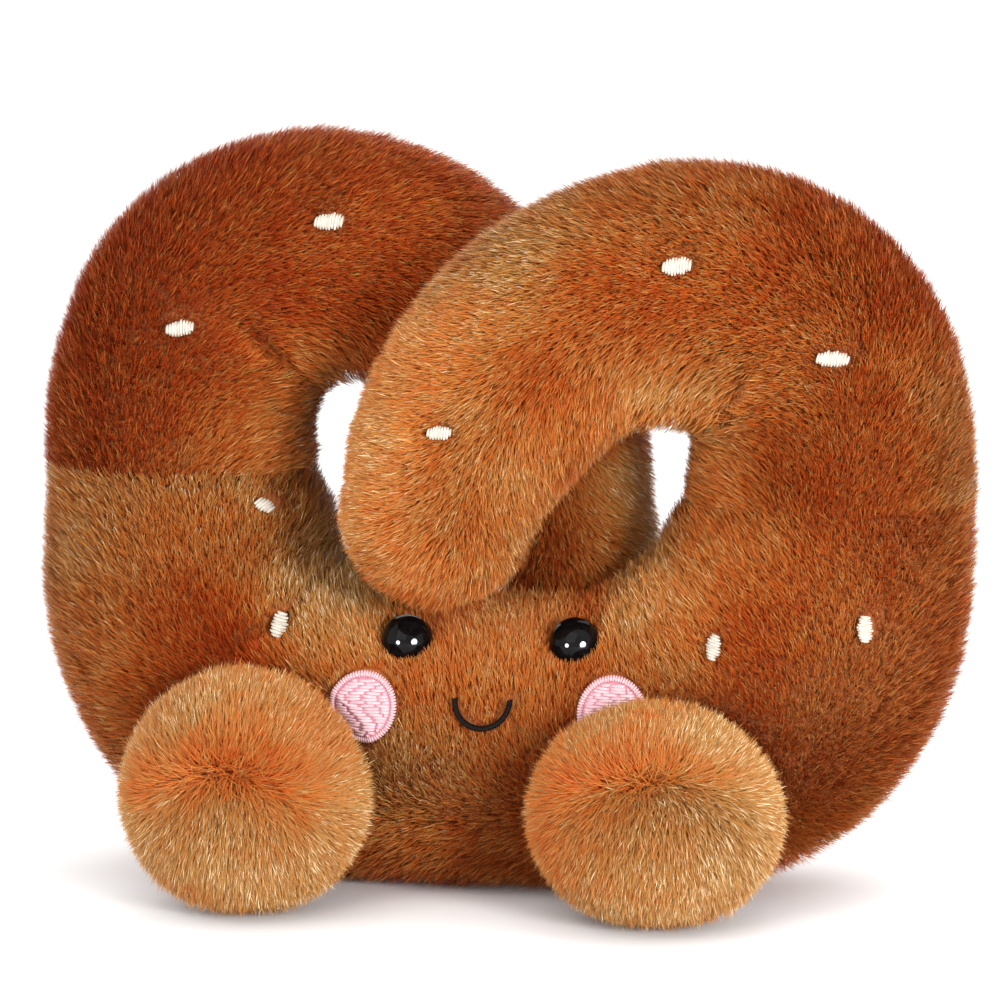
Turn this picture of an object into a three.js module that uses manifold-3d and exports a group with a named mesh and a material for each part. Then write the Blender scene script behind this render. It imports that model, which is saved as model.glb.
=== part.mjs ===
// A palm-size stuffed toy shaped as a twisted soft pretzel: a fat curved bowl, two loop arms that rise from its
// ends, cross over each other and rest on the bowl, two round feet in front of it, and a small sewn face.
// Millimetres, +Z up. The face looks along -Y and the toy stands on z = 0. The shapes are placed from the middle of
// the bowl, and the whole toy is moved at the end so that the origin lies under the middle of its box.
import * as THREE from "three";
import { mergeVertices } from "three/addons/utils/BufferGeometryUtils.js";
import Module from "manifold-3d";

const wasm = await Module();
wasm.setup();

// ---------------------------------------------------------------- driving dimensions, in millimetres

const PILE = 3; // depth of the fur, from its tips down to the cloth
const CLOTH = 1; // knitted cloth that carries the fur
const PANEL = PILE + CLOTH;
const GAP = 0.3; // clearance between pieces that touch
const PRESS = 0.035; // half the clearance of two pressed parts, as a share of their half thickness

// The middle line of each stuffed part, as rows of x, y, z, half thickness across the ring, half depth.
const LEFT_SEAM_Z = 57;
const RIGHT_SEAM_Z = 54;
const BOWL_SPINE = [
  [-47, 0, LEFT_SEAM_Z, 19.4, 19],
  [-45.7, 0, 46.5, 21.5, 19.8],
  [-43.7, -0.5, 36.2, 22.4, 20.4],
  [-37.6, -1, 27, 23.3, 21],
  [-27.5, -1.5, 21.6, 23, 21.4],
  [-14, -2, 19.3, 21.8, 21.6],
  [2, -2, 19, 21.6, 21.6],
  [16, -2, 19.8, 22, 21.6],
  [30, -1.5, 24.6, 24.2, 21.4],
  [38.8, -1, 33, 23.8, 20.8],
  [43.1, 0, 44, 22.4, 20],
  [45, 0, RIGHT_SEAM_Z, 20.4, 19.2],
];
const LEFT_ARM_SPINE = [
  [-47, 0, LEFT_SEAM_Z, 19.4, 19],
  [-46.8, 0.5, 66.6, 19.3, 18.8],
  [-43.2, 1.5, 77.2, 19.2, 18.5],
  [-36.3, 3.5, 83.3, 19.2, 18],
  [-27.9, 6, 85.8, 18.7, 17.5],
  [-18.5, 8.5, 84.6, 17.6, 17],
  [-10.5, 11, 79.2, 16.9, 16.5],
  [-3.7, 12.5, 70.8, 15.6, 16],
  [2.6, 13.5, 61, 14.8, 15.2],
  [5.6, 13.8, 50.6, 12.8, 14.4],
  [7.4, 13, 41.6, 12.2, 13.4],
];
const RIGHT_ARM_SPINE = [
  [45, 0, RIGHT_SEAM_Z, 20.4, 19.2],
  [45.2, -0.6, 63.8, 19.7, 19],
  [43.1, -2, 72.4, 19.6, 18.8],
  [37.6, -4.5, 79.3, 19.4, 18.6],
  [30.5, -7, 83, 18.6, 18.4],
  [22.2, -9.5, 83.4, 17.8, 18],
  [13.8, -12, 80.8, 17.3, 17.4],
  [6.4, -14, 75.9, 16.9, 16.8],
  [0.2, -15.6, 68.8, 16.3, 16],
  [-4.2, -17, 61.2, 15.1, 15],
  [-6.4, -18.3, 54, 13.6, 14],
];
const FREE_SHARE = 0.4; // the share of an arm, from its seam, that never meets the bowl
const BEND_FILL = 0.74; // the most of a bend's radius that the fur fills on its inner side

// Feet: centre and half sizes of each ball before it is squashed, then where and how much it is dented.
const LEFT_FOOT = { centre: [-30.7, -30, 16.4], radii: [17.4, 17.2, 17.1], dent: { toward: [0.75, -0.25, 0.62], share: 0.12 } };
const RIGHT_FOOT = { centre: [25.5, -28.4, 14.9], radii: [17.6, 17.2, 15.5], dent: { toward: [0.8, -0.2, 0.56], share: 0.05 } };

// Face and salt, as x, z on the front of the toy.
const EYES = { left: [-11.7, 36.2], right: [11.5, 36.5] };
const EYE_RADIUS = 3.5;
const EYE_HEIGHT = 3;
const EYE_SEAT = 2; // depth of the eye's flat back under the fur tips
const SHANK_RADIUS = 1.2;
const SHANK_END = 8;
const WASHER_RADIUS = 4.5;
const WASHER_THICKNESS = 1.2;
const WASHER_DEPTH = 5; // clear of the curved inside of the panel
const CHEEKS = { left: [-16.6, 26.8], right: [18.1, 27.3] };
const CHEEK_RADIUS = 4.85;
const MOUTH = { middle: [0.2, 28.4], halfWidth: 3.8, drop: 3.7, thread: 0.4 };
// Each grain: x, z, its turn in degrees from level, length and width.
const SALT = {
  leftArm: [[-23.6, 92.3, 0, 3.8, 2.3], [-43, 77.9, 8, 3.9, 2.2]],
  rightArm: [[27.4, 88.6, 4, 3.8, 2.3], [47.7, 76, -6, 4.2, 2.2], [-3.7, 66.2, 2, 3.4, 1.9]],
  bowl: [[-32, 53.2, -40, 2.4, 1.7], [-29, 37.4, 80, 3.2, 2.2], [31.8, 36.6, 80, 3.4, 2.1], [52.1, 39.3, 90, 3.6, 2]],
};
const STITCH_SINK = 0.9; // depth of the embroidery's top under the fur tips
const STITCH_THICKNESS = 1.2;
const POCKET_TOP = -2; // pockets are cut from just outside the fur

// Bag of beans that weighs the bottom down.
const BEANS = { centre: [0, -2, 10.2], radii: [15, 9.5, 5.5] };

const BOX_MIDDLE = { x: -0.8, y: -9.4 };

// How finely the shapes are divided.
const ROWS_PER_SPAN = 2;
const HALF_COLUMNS = 9;
const COLUMNS = 2 * HALF_COLUMNS;
const CAP_ROWS = 4;
const GAUGE_STEPS = 6;
const FOOT_ROWS = 9; // rows of a whole ball, from front to back
const FOOT_COVER_ROWS = 7; // the cover stops there, at its opening

// ---------------------------------------------------------------- middle lines

// Values of a row list at u rows from its start, on the uniform Catmull-Rom curve through the rows.
function along(rows, u) {
  const span = Math.min(Math.floor(u), rows.length - 4);
  const f = u - span;
  const [a, b, c, d] = rows.slice(span, span + 4);
  return b.map((value, k) => {
    const slope = c[k] - a[k];
    const bend = 2 * a[k] - 5 * value + 4 * c[k] - d[k];
    const twist = 3 * value - a[k] - 3 * c[k] + d[k];
    return 0.5 * (2 * value + slope * f + bend * f * f + twist * f * f * f);
  });
}

// The rows with one more at each end. At a seam it is the mirror image in the level seam plane, so that the two
// parts sewn there meet squarely. At a free end it carries straight on.
function padded(rows, seamAtEnd) {
  const mirror = (end, next) => next.map((value, k) => (k === 2 ? 2 * end[2] - value : value));
  const onward = (end, next) => end.map((value, k) => 2 * value - next[k]);
  const last = rows.length - 1;
  const tail = (seamAtEnd ? mirror : onward)(rows[last], rows[last - 1]);
  return [mirror(rows[0], rows[1]), ...rows, tail];
}

// The signed bend of a curve at u, as 1 / radius, averaged over one span. A left turn seen from the front is above 0.
function bendAt(rows, u, end) {
  const low = Math.max(u - 0.5, 0);
  const high = Math.min(u + 0.5, end);
  const [a, b, c] = [low, (low + high) / 2, high].map((at) => along(rows, at));
  const first = new THREE.Vector2(b[0] - a[0], b[2] - a[2]);
  const second = new THREE.Vector2(c[0] - b[0], c[2] - b[2]);
  const turn = Math.atan2(first.cross(second), first.dot(second));
  return (2 * turn) / (first.length() + second.length());
}

// Stations of a part: centre, direction along it, half depth, and half thickness on either side of the line. On the
// inner side of a tight bend the thickness is held to a share of the bend's radius, so that the surface never folds.
function stationsOf(spine, seamAtEnd, perSpan) {
  const rows = padded(spine, seamAtEnd);
  const count = (spine.length - 1) * perSpan;
  const stations = [];
  for (let i = 0; i <= count; i += 1) {
    const u = i / perSpan;
    const here = along(rows, u);
    const before = along(rows, Math.max(u - 0.01, 0));
    const after = along(rows, Math.min(u + 0.01, spine.length - 1));
    const run = new THREE.Vector3(after[0] - before[0], after[1] - before[1], after[2] - before[2]).normalize();
    const atSeam = i === 0 || (seamAtEnd && i === count);
    if (atSeam) run.set(0, 0, Math.sign(run.z));
    const centre = new THREE.Vector3(here[0], here[1], here[2]);
    if (i === 0) centre.addScaledVector(run, GAP / 2);
    if (seamAtEnd && i === count) centre.addScaledVector(run, -GAP / 2);
    const bend = bendAt(rows, u, rows.length - 3);
    const room = BEND_FILL / Math.max(Math.abs(bend), 1e-6);
    const inner = Math.min(here[3], room);
    const sides = bend > 0 ? { right: here[3], left: inner } : { right: inner, left: here[3] };
    stations.push({ centre, run, across: here[3], deep: here[4], sides, share: i / count });
  }
  return stations;
}

// How far a point is from a part's middle line, where 1 is the part's unpressed surface.
function gauge(point, stations) {
  let least = Infinity;
  for (const { centre, across, deep } of stations) {
    const side = ((point.x - centre.x) ** 2 + (point.z - centre.z) ** 2) / across ** 2;
    least = Math.min(least, side + (point.y - centre.y) ** 2 / deep ** 2);
  }
  return Math.sqrt(least);
}

function ballGauge(point, { centre, radii }) {
  const terms = [point.x, point.y, point.z].map((value, k) => ((value - centre[k]) / radii[k]) ** 2);
  return Math.sqrt(terms[0] + terms[1] + terms[2]);
}

const parts = {
  bowl: stationsOf(BOWL_SPINE, true, GAUGE_STEPS),
  leftArm: stationsOf(LEFT_ARM_SPINE, false, GAUGE_STEPS),
  rightArm: stationsOf(RIGHT_ARM_SPINE, false, GAUGE_STEPS),
};
const freeEnd = (stations) => stations.filter(({ share }) => share >= FREE_SHARE);
const gauges = {
  bowl: (p) => gauge(p, parts.bowl),
  leftArm: (p) => gauge(p, parts.leftArm),
  rightArm: (p) => gauge(p, parts.rightArm),
  leftArmEnd: (p) => gauge(p, freeEnd(parts.leftArm)),
  rightArmEnd: (p) => gauge(p, freeEnd(parts.rightArm)),
  leftFoot: (p) => ballGauge(p, LEFT_FOOT),
  rightFoot: (p) => ballGauge(p, RIGHT_FOOT),
};
// What presses on each part. The bowl only meets an arm's free end, and an arm's seam end meets nothing.
const pressedBy = {
  bowl: () => ["leftArmEnd", "rightArmEnd", "leftFoot", "rightFoot"],
  leftArm: (share) => (share >= FREE_SHARE ? ["rightArm", "bowl"] : ["rightArm"]),
  rightArm: (share) => (share >= FREE_SHARE ? ["leftArm", "bowl"] : ["leftArm"]),
  leftFoot: () => ["bowl"],
  rightFoot: () => ["bowl"],
};

// ---------------------------------------------------------------- pressed surfaces

// The share of a ray that stays in its own part: it stops where a neighbour's surface would be as near, and on
// the ground.
function reach(name, share, centre, ray) {
  const others = pressedBy[name](share).map((other) => gauges[other]);
  const point = new THREE.Vector3();
  const clear = (t) => {
    point.copy(centre).addScaledVector(ray, t);
    const own = gauges[name](point) + PRESS;
    return others.every((other) => other(point) >= own);
  };
  let low = 0.2;
  let high = 1;
  if (clear(high)) low = high;
  while (high - low > 1e-4) {
    const middle = (low + high) / 2;
    if (clear(middle)) low = middle;
    else high = middle;
  }
  const toGround = ray.z < 0 ? centre.z / -ray.z : Infinity;
  return Math.min(low, toGround);
}

// The point at a depth under the pressed surface, along a ray from the middle line.
function surfacePoint(name, share, centre, ray, depth) {
  const length = ray.length() * reach(name, share, centre, ray) - depth;
  return centre.clone().addScaledVector(ray.clone().normalize(), length);
}

// Rays of one station at the given angles: 0 and 180 degrees lie in the ring's plane, 270 degrees is the front.
function raysAt(station, angles, tip = 0) {
  const right = new THREE.Vector3(0, 1, 0).cross(station.run).normalize();
  const back = new THREE.Vector3().crossVectors(station.run, right);
  const round = Math.cos(tip);
  return angles.map((angle) => {
    const across = Math.cos(angle) > 0 ? station.sides.right : station.sides.left;
    return new THREE.Vector3()
      .addScaledVector(right, across * round * Math.cos(angle))
      .addScaledVector(back, station.deep * round * Math.sin(angle))
      .addScaledVector(station.run, station.across * Math.sin(tip));
  });
}

// Rows of rays for a whole part. A free end is closed with a round cap.
function rayRows(stations, angles, capped) {
  const rows = stations.map((station) => ({ station, rays: raysAt(station, angles) }));
  const last = stations[stations.length - 1];
  for (let i = 1; capped && i <= CAP_ROWS; i += 1) {
    rows.push({ station: last, rays: raysAt(last, angles, (i / CAP_ROWS) * (Math.PI / 2)), pole: i === CAP_ROWS });
  }
  return rows;
}

// ---------------------------------------------------------------- meshes and solids

// One closed body from triangles: equal corners are merged, flat triangles dropped and the faces turned outwards.
function closedBody(triangles) {
  const positions = triangles.flat().flatMap((p) => [p.x, p.y, p.z]);
  const loose = new THREE.BufferGeometry();
  loose.setAttribute("position", new THREE.Float32BufferAttribute(positions, 3));
  const merged = mergeVertices(loose, 1e-3);
  const index = [];
  const corner = [0, 1, 2].map(() => new THREE.Vector3());
  let volume = 0;
  for (let i = 0; i < merged.index.count; i += 3) {
    const [a, b, c] = [0, 1, 2].map((k) => merged.index.getX(i + k));
    if (a === b || b === c || c === a) continue;
    index.push(a, b, c);
    [a, b, c].forEach((vertex, k) => corner[k].fromBufferAttribute(merged.attributes.position, vertex));
    volume += corner[0].dot(corner[1].clone().cross(corner[2]));
  }
  merged.setIndex(volume < 0 ? index.reverse() : index);
  return merged;
}

// Triangles between the rows of a grid of points.
function gridTriangles(grid, wrap) {
  const triangles = [];
  const columns = grid[0].length;
  for (let i = 0; i + 1 < grid.length; i += 1) {
    for (let j = 0; j + 1 < columns + (wrap ? 1 : 0); j += 1) {
      const [a, b] = [grid[i][j], grid[i][(j + 1) % columns]];
      const [c, d] = [grid[i + 1][j], grid[i + 1][(j + 1) % columns]];
      triangles.push([a, b, d], [a, d, c]);
    }
  }
  return triangles;
}

const turnedOver = (triangles) => triangles.map(([a, b, c]) => [a, c, b]);

// A wall between an outer and an inner grid, closed along all their edges.
function wallBody(outer, inner, wrap) {
  const column = (grid, j) => grid.map((row) => row[j]);
  const last = outer[0].length - 1;
  const triangles = [
    ...gridTriangles(outer, wrap),
    ...turnedOver(gridTriangles(inner, wrap)),
    ...gridTriangles([inner[0], outer[0]], wrap),
    ...gridTriangles([outer[outer.length - 1], inner[inner.length - 1]], wrap),
  ];
  if (!wrap) {
    // Both edge walls are split along the same diagonals, so that the walls of two facing panels stay parallel.
    triangles.push(...gridTriangles([column(outer, 0), column(inner, 0)], false));
    triangles.push(...turnedOver(gridTriangles([column(outer, last), column(inner, last)], false)));
  }
  return closedBody(triangles);
}

// A solid whose grid starts and ends in a single point.
function solidBody(grid) {
  return closedBody(gridTriangles(grid, true));
}

function manifoldOf(geometry) {
  const solid = new wasm.Mesh({
    numProp: 3,
    vertProperties: new Float32Array(geometry.attributes.position.array),
    triVerts: new Uint32Array(geometry.index.array),
  });
  return new wasm.Manifold(solid);
}

function cut(geometry, tools) {
  let solid = manifoldOf(geometry);
  for (const tool of tools) solid = solid.subtract(manifoldOf(tool));
  const { vertProperties, triVerts } = solid.getMesh();
  const result = new THREE.BufferGeometry();
  result.setAttribute("position", new THREE.Float32BufferAttribute(vertProperties, 3));
  result.setIndex(Array.from(triVerts));
  return result;
}

// A solid of revolution about +Y from a list of radius, height pairs that starts and ends on the axis.
function turned(profile, segments) {
  const outline = profile.map(([radius, height]) => new THREE.Vector2(radius, height));
  const lathe = new THREE.LatheGeometry(outline, segments).toNonIndexed();
  const { position } = lathe.attributes;
  const triangles = [];
  for (let i = 0; i < position.count; i += 3) {
    triangles.push([0, 1, 2].map((k) => new THREE.Vector3().fromBufferAttribute(position, i + k)));
  }
  return closedBody(triangles);
}

// ---------------------------------------------------------------- fur panels

// One half of a part's fur cover, front or back. Its edges stand half a gap off the seam line on the silhouette.
function panel(name, spine, seamAtEnd, front) {
  const start = front ? Math.PI : 0;
  const angles = Array.from({ length: HALF_COLUMNS + 1 }, (_, j) => start + (Math.PI * j) / HALF_COLUMNS);
  const stations = stationsOf(spine, seamAtEnd, ROWS_PER_SPAN);
  const rows = rayRows(stations, angles, !seamAtEnd);
  const away = new THREE.Vector3(0, front ? -GAP / 2 : GAP / 2, 0);
  const layer = (depth) =>
    rows.map(({ station, rays, pole }) =>
      rays.map((ray, j) => {
        const point = surfacePoint(name, station.share, station.centre, ray, depth);
        const onSeam = pole || j === 0 || j === HALF_COLUMNS;
        return onSeam ? point.add(away) : point;
      }),
    );
  return wallBody(layer(0), layer(PANEL), false);
}

// Rows of rays of a foot, from its front point towards its back. The dent is the fifth power of the cosine from its
// direction.
function footRays({ radii, dent }, rows) {
  const toward = new THREE.Vector3(...dent.toward).normalize();
  return Array.from({ length: rows + 1 }, (_, i) => {
    const polar = (Math.PI * i) / FOOT_ROWS;
    return Array.from({ length: COLUMNS }, (_unused, j) => {
      const angle = (2 * Math.PI * j) / COLUMNS;
      const ray = new THREE.Vector3(
        radii[0] * Math.sin(polar) * Math.cos(angle),
        -radii[1] * Math.cos(polar),
        radii[2] * Math.sin(polar) * Math.sin(angle),
      );
      const nearness = Math.max(ray.dot(toward) / ray.length(), 0);
      return ray.multiplyScalar(1 - dent.share * nearness ** 5);
    });
  });
}

function footLayer(name, foot, rays, depth) {
  const centre = new THREE.Vector3(...foot.centre);
  return rays.map((row) => row.map((ray) => surfacePoint(name, 1, centre, ray, depth)));
}

function footCover(name, foot) {
  const rays = footRays(foot, FOOT_COVER_ROWS);
  return wallBody(footLayer(name, foot, rays, 0), footLayer(name, foot, rays, PANEL), true);
}

function footStuffing(name, foot) {
  return solidBody(footLayer(name, foot, footRays(foot, FOOT_ROWS), PANEL + GAP));
}

// ---------------------------------------------------------------- stuffing

// The fibre core runs without a break from one arm's end through the bowl to the other arm's end.
function coreStuffing() {
  const angles = Array.from({ length: COLUMNS }, (_, j) => (2 * Math.PI * j) / COLUMNS);
  const layer = (name, spine, seamAtEnd, turnedRound) => {
    const rows = rayRows(stationsOf(spine, seamAtEnd, ROWS_PER_SPAN), angles, !seamAtEnd);
    const points = rows.map(({ station, rays }) =>
      rays.map((ray) => surfacePoint(name, station.share, station.centre, ray, PANEL + GAP)),
    );
    return turnedRound ? points.reverse() : points;
  };
  const left = layer("leftArm", LEFT_ARM_SPINE, false, true);
  // The left arm runs up from the seam and the bowl runs down from it, so its columns are counted the other way.
  const leftInStep = left.map((row) => row.map((_, j) => row[(HALF_COLUMNS - j + COLUMNS) % COLUMNS]));
  return solidBody([
    ...leftInStep,
    ...layer("bowl", BOWL_SPINE, true, false),
    ...layer("rightArm", RIGHT_ARM_SPINE, false, false),
  ]);
}

// A ball-like bag, or with a flat skirt down to the ground the pocket that holds it open below.
function beanShape(growth, skirt) {
  const [cx, cy, cz] = BEANS.centre;
  const [rx, ry, rz] = BEANS.radii.map((radius) => radius + growth);
  const grid = Array.from({ length: 9 }, (_, i) => {
    const polar = (Math.PI * i) / 8;
    return Array.from({ length: 16 }, (_unused, j) => {
      const angle = (2 * Math.PI * j) / 16;
      const below = skirt && i > 4;
      const round = below ? (i === 8 ? 0 : 1) : Math.sin(polar);
      const z = below ? 0 : cz + rz * Math.cos(polar);
      return new THREE.Vector3(cx + rx * round * Math.cos(angle), cy + ry * round * Math.sin(angle), z);
    });
  });
  return solidBody(grid);
}

// ---------------------------------------------------------------- the toy's front, for the face and the salt

// The y of the pressed front surface of a part above x, z.
function frontY(name, x, z) {
  const others = name === "bowl" ? ["leftFoot", "rightFoot"] : [];
  const inside = (y) => {
    const point = new THREE.Vector3(x, y, z);
    const own = gauges[name](point);
    return own <= 1 && others.every((other) => gauges[other](point) >= own + PRESS);
  };
  let near = name === "rightArm" ? -8 : 0;
  let far = -40;
  while (near - far > 1e-3) {
    const middle = (near + far) / 2;
    if (inside(middle)) near = middle;
    else far = middle;
  }
  return near;
}

function frontNormal(name, x, z) {
  const step = 0.4;
  const slopeX = (frontY(name, x + step, z) - frontY(name, x - step, z)) / (2 * step);
  const slopeZ = (frontY(name, x, z + step) - frontY(name, x, z - step)) / (2 * step);
  return new THREE.Vector3(slopeX, -1, slopeZ).normalize();
}

// A flat patch laid into the front surface between two depths. outline(angle) gives its edge from its middle.
function patch(name, [x, z], outline, shallow, deep, rings) {
  const segments = 16;
  const ring = (share, depth) =>
    Array.from({ length: segments }, (_, j) => {
      const [dx, dz] = outline((2 * Math.PI * j) / segments);
      const [px, pz] = [x + dx * share, z + dz * share];
      return new THREE.Vector3(px, frontY(name, px, pz) + depth, pz);
    });
  const top = rings.map((share) => ring(share, shallow));
  const bottom = rings.map((share) => ring(share, deep));
  return solidBody([...top, ...bottom.reverse()]);
}

// A patch and the pocket in the fur that it lies in.
function embroidery(name, place, outline, rings) {
  const bottom = STITCH_SINK + STITCH_THICKNESS;
  return {
    piece: patch(name, place, (angle) => outline(angle, 0), STITCH_SINK, bottom, rings),
    pocket: patch(name, place, (angle) => outline(angle, GAP), POCKET_TOP, bottom + GAP, rings),
  };
}

function cheek(side) {
  return embroidery("bowl", CHEEKS[side], (angle, growth) => {
    const radius = CHEEK_RADIUS + growth;
    return [radius * Math.cos(angle), radius * Math.sin(angle)];
  }, [0, 0.5, 1]);
}

// A salt grain is an oblong with rounded corners: a superellipse of power 3.
function saltGrain(name, [x, z, turn, length, width]) {
  const tilt = THREE.MathUtils.degToRad(turn);
  return embroidery(name, [x, z], (angle, growth) => {
    const rounded = (value) => Math.sign(value) * Math.abs(value) ** (2 / 3);
    const u = (length / 2 + growth) * rounded(Math.cos(angle));
    const v = (width / 2 + growth) * rounded(Math.sin(angle));
    return [u * Math.cos(tilt) - v * Math.sin(tilt), u * Math.sin(tilt) + v * Math.cos(tilt)];
  }, [0, 1]);
}

// The mouth is a satin-stitched line that hangs between its corners as half an ellipse.
function mouthStrip(growth, shallow, deep) {
  const [x, z] = MOUTH.middle;
  const half = MOUTH.thread + growth;
  const sections = 12;
  const grid = [];
  for (let i = 0; i <= sections; i += 1) {
    const reachOut = 1 + (i === 0 || i === sections ? growth / MOUTH.halfWidth : 0);
    const angle = Math.PI * (1 + i / sections);
    const centre = [x + MOUTH.halfWidth * reachOut * Math.cos(angle), z + MOUTH.drop * Math.sin(angle)];
    const normal = new THREE.Vector2(Math.cos(angle) / MOUTH.halfWidth, Math.sin(angle) / MOUTH.drop).normalize();
    const corner = (side, depth) => {
      const [px, pz] = [centre[0] + side * half * normal.x, centre[1] + side * half * normal.y];
      return new THREE.Vector3(px, frontY("bowl", px, pz) + depth, pz);
    };
    const section = [corner(1, shallow), corner(-1, shallow), corner(-1, deep), corner(1, deep)];
    const middle = section.reduce((sum, p) => sum.add(p), new THREE.Vector3()).divideScalar(4);
    if (i === 0) grid.push(section.map(() => middle));
    grid.push(section);
    if (i === sections) grid.push(section.map(() => middle));
  }
  return solidBody(grid);
}

function mouth() {
  const bottom = STITCH_SINK + STITCH_THICKNESS;
  return { piece: mouthStrip(0, STITCH_SINK, bottom), pocket: mouthStrip(GAP, POCKET_TOP, bottom + GAP) };
}

// ---------------------------------------------------------------- eyes

// Puts a shape turned about +Y at an eye, with +Y out of the surface and y = 0 at the fur tips.
function atEye(side, geometry) {
  const [x, z] = EYES[side];
  const normal = frontNormal("bowl", x, z);
  const turn = new THREE.Quaternion().setFromUnitVectors(new THREE.Vector3(0, 1, 0), normal);
  const place = new THREE.Matrix4().makeRotationFromQuaternion(turn).setPosition(x, frontY("bowl", x, z), z);
  return geometry.applyMatrix4(place);
}

// A glossy dome on a straight shank, which goes through the panel and is held by a washer behind it.
function eye(side) {
  const dome = [];
  for (let i = 0; i <= 5; i += 1) {
    const angle = (Math.PI / 2) * (1 - i / 5);
    dome.push([EYE_RADIUS * Math.cos(angle), -EYE_SEAT + EYE_HEIGHT * Math.sin(angle)]);
  }
  const shank = [[SHANK_RADIUS, -EYE_SEAT], [SHANK_RADIUS, -SHANK_END], [0, -SHANK_END]];
  return atEye(side, turned([...dome, ...shank], 18));
}

function eyeWasher(side) {
  const inside = SHANK_RADIUS + GAP;
  const front = -WASHER_DEPTH;
  const back = front - WASHER_THICKNESS;
  const ring = [[inside, front], [WASHER_RADIUS, front], [WASHER_RADIUS, back], [inside, back], [inside, front]];
  return atEye(side, turned(ring, 18));
}

const cylinder = (radius, low, high) => turned([[0, high], [radius, high], [radius, low], [0, low]], 18);

function eyeHoles(side) {
  const seat = cylinder(EYE_RADIUS + GAP, -EYE_SEAT - GAP, 3);
  const bore = cylinder(SHANK_RADIUS + GAP, -SHANK_END, 3);
  return [atEye(side, seat), atEye(side, bore)];
}

function washerPocket(side) {
  const washer = cylinder(WASHER_RADIUS + GAP, -WASHER_DEPTH - WASHER_THICKNESS - GAP, 0);
  const shank = cylinder(SHANK_RADIUS + GAP, -SHANK_END - GAP, 0);
  return [atEye(side, washer), atEye(side, shank)];
}

// ---------------------------------------------------------------- finishes

const finish = (color, roughness) => ({ color, roughness, metalness: 0 });
const FINISHES = {
  bowlFur: finish(0x9a5220, 0.9),
  leftArmFur: finish(0x8a4018, 0.9),
  rightArmFur: finish(0xa8652c, 0.9),
  footFur: finish(0xc28a45, 0.9),
  fibre: finish(0xf2f0ea, 1),
  beanBag: finish(0xe6e0d0, 0.9),
  eyePlastic: finish(0x0a0808, 0.12),
  washerPlastic: finish(0xe8e8e4, 0.5),
  blackThread: finish(0x120d0c, 0.5),
  pinkThread: finish(0xf2b4bd, 0.5),
  whiteThread: finish(0xf6f2ea, 0.5),
};

const toy = new THREE.Group();
toy.position.set(-BOX_MIDDLE.x, -BOX_MIDDLE.y, 0);

function add(name, geometry, look) {
  const mesh = new THREE.Mesh(geometry, new THREE.MeshStandardMaterial(FINISHES[look]));
  mesh.name = name;
  toy.add(mesh);
}

// ---------------------------------------------------------------- assembly

const sides = ["left", "right"];
const grains = Object.entries(SALT).flatMap(([name, list]) =>
  list.map((grain) => ({ name, ...saltGrain(name, grain) })),
);
const grainPockets = (name) => grains.filter((grain) => grain.name === name).map(({ pocket }) => pocket);
const cheeks = sides.map(cheek);
const smile = mouth();

const facePockets = [
  ...sides.flatMap(eyeHoles),
  ...cheeks.map(({ pocket }) => pocket),
  smile.pocket,
  ...grainPockets("bowl"),
];
add("bowl_front_panel", cut(panel("bowl", BOWL_SPINE, true, true), facePockets), "bowlFur");
add("bowl_back_panel", panel("bowl", BOWL_SPINE, true, false), "bowlFur");
add("left_arm_front_panel", cut(panel("leftArm", LEFT_ARM_SPINE, false, true), grainPockets("leftArm")), "leftArmFur");
add("left_arm_back_panel", panel("leftArm", LEFT_ARM_SPINE, false, false), "leftArmFur");
add("right_arm_front_panel", cut(panel("rightArm", RIGHT_ARM_SPINE, false, true), grainPockets("rightArm")), "rightArmFur");
add("right_arm_back_panel", panel("rightArm", RIGHT_ARM_SPINE, false, false), "rightArmFur");

add("left_foot_cover", footCover("leftFoot", LEFT_FOOT), "footFur");
add("right_foot_cover", footCover("rightFoot", RIGHT_FOOT), "footFur");
add("left_foot_stuffing", footStuffing("leftFoot", LEFT_FOOT), "fibre");
add("right_foot_stuffing", footStuffing("rightFoot", RIGHT_FOOT), "fibre");

const corePockets = [beanShape(GAP, true), ...sides.flatMap(washerPocket)];
add("core_stuffing", cut(coreStuffing(), corePockets), "fibre");
add("bean_pouch", beanShape(0, false), "beanBag");

for (const side of sides) {
  add(`${side}_eye`, eye(side), "eyePlastic");
  add(`${side}_eye_washer`, eyeWasher(side), "washerPlastic");
}
sides.forEach((side, i) => add(`${side}_cheek_embroidery`, cheeks[i].piece, "pinkThread"));
add("mouth_embroidery", smile.piece, "blackThread");
grains.forEach(({ piece }, i) => add(`salt_stitch_${i + 1}`, piece, "whiteThread"));

export default toy;
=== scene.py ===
"""A palm-size stuffed toy shaped as a twisted soft pretzel, on a pale studio floor.

The script follows the toy as it is sewn: the stuffed parts, their cloth, the fur, the eyes, the embroidery, what is
inside, and last the studio. Shapes are worked out in millimetres from the middle of the bowl, and become metres in
the CAD frame when their mesh is made.
"""

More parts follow.
